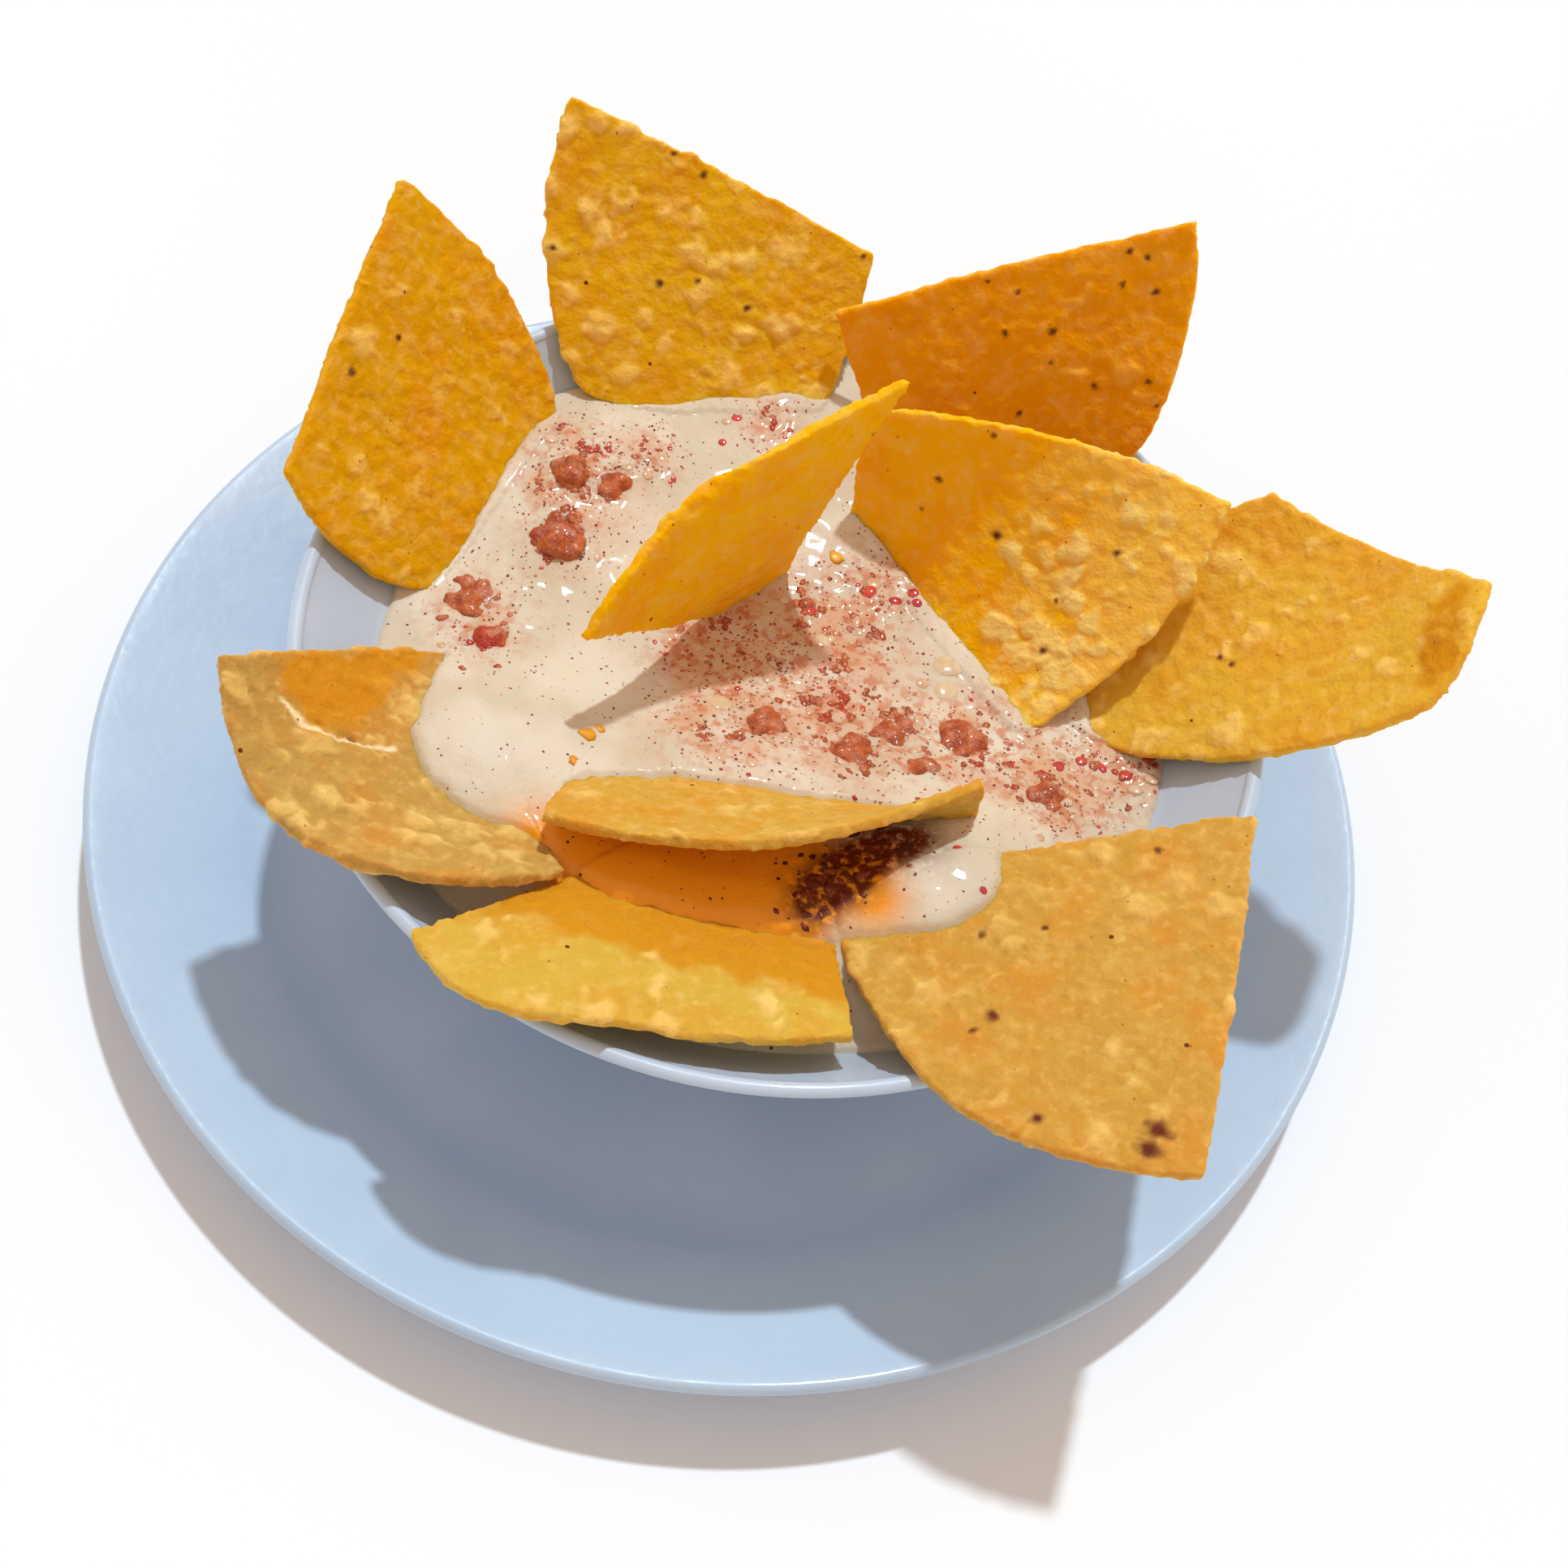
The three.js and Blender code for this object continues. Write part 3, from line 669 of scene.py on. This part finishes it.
def cheese_dip(chips, bowl, lumps, material):
    """The dip as one closed body: a fine uneven top and a plain underside along the bowl's wall."""
    surface = DipSurface()
    wall = tree_of([bowl.data])
    x, y = (side.ravel() for side in dip_plan(surface, wall))
    flat = np.stack([x, y, np.zeros_like(x)], -1)
    height = surface.at(x, y)
    height += DIP_SWELL["depth"] * waves(flat, DIP_SWELL["size"], 3)
    height += DIP_RIPPLE["depth"] * waves(flat, DIP_RIPPLE["size"], 4)
    height += collars(x, y, lumps)
    solid = tree_of([nodes["dip"].data])
    meat = places(solid, MEAT_AND_SHADE_SPOTS)
    bumps = np.abs(waves(flat, MEAT_BUMPS["size"], 5))
    height += MEAT_BUMPS["depth"] * bumps * stain(np.stack([x, y, height], -1), meat)
    top = np.stack([x, y, height], -1)
    top[:, 2] += lip(top, tree_of([piece.data for piece in chips + [bowl]]))
    mesh = closed_dip(top, wall)
    # The stain is partly painted shade, and the second mask is painted orange light under the front chip.
    for label, spots in (("stain", MEAT_AND_SHADE_SPOTS), ("painted_glow", PAINTED_GLOW_SPOTS), ("char", DARK_SPOTS)):
        keep_value(mesh, label, stain(points_of(mesh), places(solid, spots)))
    return shown("cheese_dip", mesh, material, "cheese_dip", "dip")


def collars(x, y, lumps):
    """How far the dip climbs round each lump of meat that is sunk in it."""
    rise = np.zeros_like(x)
    for lump in lumps:
        points = points_of(lump.data)
        low, high = points.min(0), points.max(0)
        middle = (low + high) / 2
        radius = (high - low)[:2].mean() / 2
        away = np.hypot(x - middle[0], y - middle[1]) / (1.25 * radius)
        rise += MEAT_COLLAR * (high - low)[2] * np.exp(-away ** 2)
    return rise


def closed_dip(top, wall):
    """Joins the grid of the top to rings that run down the wall to the bowl's middle."""
    side = DIP_CELLS + 1
    index = np.arange(side * side).reshape(side, side)
    cells = np.stack([index[:-1, :-1], index[:-1, 1:], index[1:, 1:], index[1:, :-1]], -1).reshape(-1, 4)
    edge = np.concatenate([index[0, :-1], index[:-1, -1], index[-1, :0:-1], index[:0:-1, 0]])
    middle = bowl_axis()
    points = [Vector(point) for point in top]
    faces = cells.tolist()
    ring = edge.tolist()
    for share in (0.96, 0.85, 0.7, 0.5, 0.25):
        below = []
        for corner in edge:
            x = middle.x + share * (top[corner][0] - middle.x)
            y = middle.y + share * (top[corner][1] - middle.y)
            floor = wall.ray_cast(Vector((x, y, top[corner][2])), DOWN)[0]
            below.append(len(points))
            points.append(floor + Vector((0, 0, 0.3 * MM)))
        for k in range(len(ring)):
            n = (k + 1) % len(ring)
            faces.append([ring[n], ring[k], below[k], below[n]])
        ring = below
    faces.append(ring[::-1])
    mesh = bpy.data.meshes.new("cheese_dip")
    mesh.from_pydata(points, [], faces)
    mesh.validate()
    return mesh


def seen(tree, column, row):
    """Where the ray through one of the photograph's pixels meets a tree of faces."""
    ahead, side, top = camera_axes()
    half = IMAGE_SIDE / 2
    ray = CAMERA["focal"] * ahead + side * (column - half) + top * (half - row)
    return tree.ray_cast(MM * Vector(CAMERA["place"]), ray.normalized())


def places(tree, spots):
    """Places where spots in the photograph meet a tree of faces, each with its spread."""
    hits = [(seen(tree, column, row)[0], spread * MM) for column, row, spread in spots]
    return [hit for hit in hits if hit[0]]


def stain(points, middles):
    """How strongly the dip is coloured at each point by what lies at the given places, from 0 to 1."""
    strength = np.zeros(len(points))
    for place, spread in middles:
        away = np.linalg.norm(points - np.array(place), axis=1)
        strength += np.exp(-(away / (1.3 * spread)) ** 2)
    return np.clip(strength, 0, 1)


def ball(detail):
    """Points and faces of a round ball of radius 1."""
    work = bmesh.new()
    bmesh.ops.create_icosphere(work, subdivisions=detail, radius=1)
    points = np.array([vertex.co for vertex in work.verts])
    faces = np.array([[vertex.index for vertex in face.verts] for face in work.faces])
    work.free()
    return points, faces


def grains(name, spots, shape, form, material, slot, seed):
    """One mesh of many small grains; each spot is a place on the dip, the way it faces and a radius.

    The form gives how flat, uneven and deeply sunk the grains are, as shares of their radius."""
    draw = np.random.default_rng(seed)
    points, faces = shape
    flat, uneven, sunk = form
    all_points = []
    all_faces = []
    for number, (place, facing, radius) in enumerate(spots):
        turn = facing.to_track_quat("Z", "Y").to_matrix() @ Matrix.Rotation(draw.uniform(0, math.tau), 3, "Z")
        stretch = radius * np.array([draw.uniform(0.7, 1.35), draw.uniform(0.7, 1.35), flat])
        knobs = draw.uniform(1 - uneven, 1 + uneven, (len(points), 1))
        middle = np.array(place - sunk * radius * facing)
        all_points.append((points * knobs * stretch) @ np.array(turn).T + middle)
        all_faces.append(faces + number * len(points))
    mesh = bpy.data.meshes.new(name)
    mesh.from_pydata(np.concatenate(all_points), [], np.concatenate(all_faces))
    return shown(name, mesh, material, slot)


class Table:
    """Finds places on the dip for small things, clear of the chips."""

    def __init__(self, dip, chips):
        self.dip = tree_of([dip.data])
        self.chips = tree_of([chip.data for chip in chips])
        self.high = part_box("dip")[1].z + 10 * MM

    def free(self, hit, radius):
        """The spot that a ray hit, if the dip is free of chips there."""
        place, facing = hit[:2]
        if place is None or self.chips.find_nearest(place, radius)[0]:
            return []
        return [(place, facing, radius)]

    def shown_at(self, marks):
        """Spots at the given pixels of the photograph."""
        return [spot for column, row, radius in marks for spot in self.free(seen(self.dip, column, row), radius)]

    def crumbled(self, marks, seed):
        """Spots for little lumps at the given pixels, each as a few grains side by side."""
        draw = np.random.default_rng(seed)
        spots = []
        for column, row, radius in marks:
            scatter = 0.5 * PIXELS_PER_MM * radius / MM
            for x, y in draw.normal((column, row), scatter, (MINCE_GRAINS, 2)):
                spots += self.free(seen(self.dip, x, y), radius * draw.uniform(0.25, 0.6))
        return spots

    def picked(self, kind, seed):
        """Random spots, round the kind's own spots in the photograph if it has any and else all over."""
        draw = np.random.default_rng(seed)
        low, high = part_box("dip")
        small, large = kind["radius"]
        spots = []
        for _ in range(kind["count"]):
            radius = small + (large - small) * draw.random() ** 2
            if "round" in kind:
                column, row, reach = draw.choice(kind["round"])
                scatter = PIXELS_PER_MM * reach * kind["spread"]
                hit = seen(self.dip, draw.normal(column, scatter), draw.normal(row, scatter))
            else:
                x, y = draw.uniform(low[:2], high[:2])
                hit = self.dip.ray_cast(Vector((x, y, self.high)), DOWN)
            spots += self.free(hit, radius)
        return spots


def add_toppings(dip, chips, meat):
    """Crumbs of meat, spice, drops of fat and flakes of chip that lie on the dip."""
    table = Table(dip, chips)
    spice = speck_look("red_spice", srgb(196, 92, 54), srgb(140, 52, 32))
    dark = speck_look("brown_spice", srgb(150, 78, 44), srgb(88, 42, 28))
    burnt_meat = speck_look("dark_crumbs", srgb(140, 58, 30), srgb(84, 30, 16))
    fat = wet_look("red_fat", srgb(214, 72, 56), srgb(186, 40, 58))
    clear = wet_look("clear_fat", srgb(222, 190, 160), srgb(210, 168, 136))
    bubble = wet_look("bubbles", srgb(226, 204, 170), srgb(216, 190, 154))
    corn = speck_look("chip_flakes", srgb(240, 176, 40), srgb(226, 148, 16))
    drops = table.shown_at(FAT_DROPS)
    mince = table.crumbled(MINCE, 6) + table.picked(CRUMBS, 1)
    grains("meat_crumbs", mince, ball(2), (0.6, 0.25, 0.3), meat, "chorizo", 11)
    grains("dark_crumbs", table.picked(CHAR, 7), ball(2), (0.25, 0.3, 0.05), burnt_meat, "chorizo", 18)
    grains("red_spice", table.picked(SPICE, 2), ball(1), (0.4, 0.2, 0.0), spice, "chorizo", 12)
    grains("brown_spice", table.picked(FLECKS, 3), ball(1), (0.4, 0.2, 0.0), dark, "chorizo", 13)
    grains("red_fat_drops", drops + table.picked(DOTS, 5), ball(2), (0.3, 0.05, 0.1), fat, "chorizo", 14)
    grains("clear_fat_beads", table.picked(BEADS, 4), ball(2), (0.24, 0.0, 0.08), clear, "cheese_dip", 15)
    grains("clear_bubbles", table.shown_at(BUBBLES), ball(4), (0.22, 0.0, 0.05), bubble, "cheese_dip", 16)
    grains("chip_flakes", table.shown_at(FLAKES), ball(2), (0.3, 0.3, 0.0), corn, "fried_tortilla", 17)


def camera_axes():
    """The camera's view direction, and its right and top after the roll."""
    tilt = math.radians(CAMERA["tilt"])
    roll = math.radians(CAMERA["roll"])
    right = Vector((1, 0, 0))
    ahead = Vector((0, math.cos(tilt), -math.sin(tilt)))
    up = Vector((0, math.sin(tilt), math.cos(tilt)))
    side = math.cos(roll) * right + math.sin(roll) * up
    top = math.cos(roll) * up - math.sin(roll) * right
    return ahead, side, top


def add_camera():
    """Stands the camera where the photograph was taken."""
    ahead, side, top = camera_axes()
    data = bpy.data.cameras.new("camera")
    data.sensor_width = SENSOR
    data.lens = SENSOR * CAMERA["focal"] / IMAGE_SIDE
    data.clip_start = 10 * MM
    camera = bpy.data.objects.new("camera", data)
    turn = Matrix((side, top, -ahead)).transposed()
    camera.matrix_world = Matrix.Translation(MM * Vector(CAMERA["place"])) @ turn.to_4x4()
    bpy.context.scene.collection.objects.link(camera)
    bpy.context.scene.camera = camera


def add_light():
    """A clear key light from behind, and a world that fills the shadows evenly."""
    data = bpy.data.lights.new("key", "SUN")
    data.energy = KEY["strength"]
    data.angle = math.radians(KEY["spread"])
    data.color = KEY["colour"]
    key = bpy.data.objects.new("key", data)
    key.rotation_euler = Vector(KEY["towards"]).to_track_quat("Z", "Y").to_euler()
    bpy.context.scene.collection.objects.link(key)
    world = bpy.data.worlds.new("fill")
    world.use_nodes = True
    background = world.node_tree.nodes["Background"]
    background.inputs["Color"].default_value = (*FILL["colour"], 1)
    background.inputs["Strength"].default_value = FILL["strength"]
    bpy.context.scene.world = world
    bpy.context.scene.view_settings.view_transform = "Standard"


def add_floor():
    """A plain pale floor under the plate."""
    half = FLOOR_SIDE / 2
    mesh = bpy.data.meshes.new("floor")
    mesh.from_pydata([(-half, -half, 0), (half, -half, 0), (half, half, 0), (-half, half, 0)], [], [(0, 1, 2, 3)])
    mesh.materials.append(floor_look())
    floor = bpy.data.objects.new("floor", mesh)
    bpy.context.scene.collection.objects.link(floor)


add_camera()
add_light()
add_floor()

chip_names = sorted(name for name in nodes if name.startswith("chip_"))
lump_names = sorted(name for name in nodes if name.startswith("chorizo_"))

plate = shown(
    "dinner_plate", smoothed("plate", 2), glaze_look("plate_glaze", srgb(186, 207, 230), srgb(179, 201, 226)),
    "plate_glaze", "plate",
)
bowl = shown(
    "dip_bowl", smoothed("bowl", 2), glaze_look("bowl_glaze", srgb(195, 211, 232), srgb(188, 204, 225)),
    "bowl_glaze", "bowl",
)
corn = tortilla_look()
chip_solids = tree_of([nodes[name].data for name in chip_names])
burns = [(seen(chip_solids, column, row)[0], radius) for column, row, radius in BURNS]
chips = [tortilla_chip(name, number, burns, corn) for number, name in enumerate(chip_names)]
meat = meat_look()
lumps = [meat_lump(name, number, meat) for number, name in enumerate(lump_names)]
dip = cheese_dip(chips, bowl, lumps, dip_look())
add_toppings(dip, chips, meat)
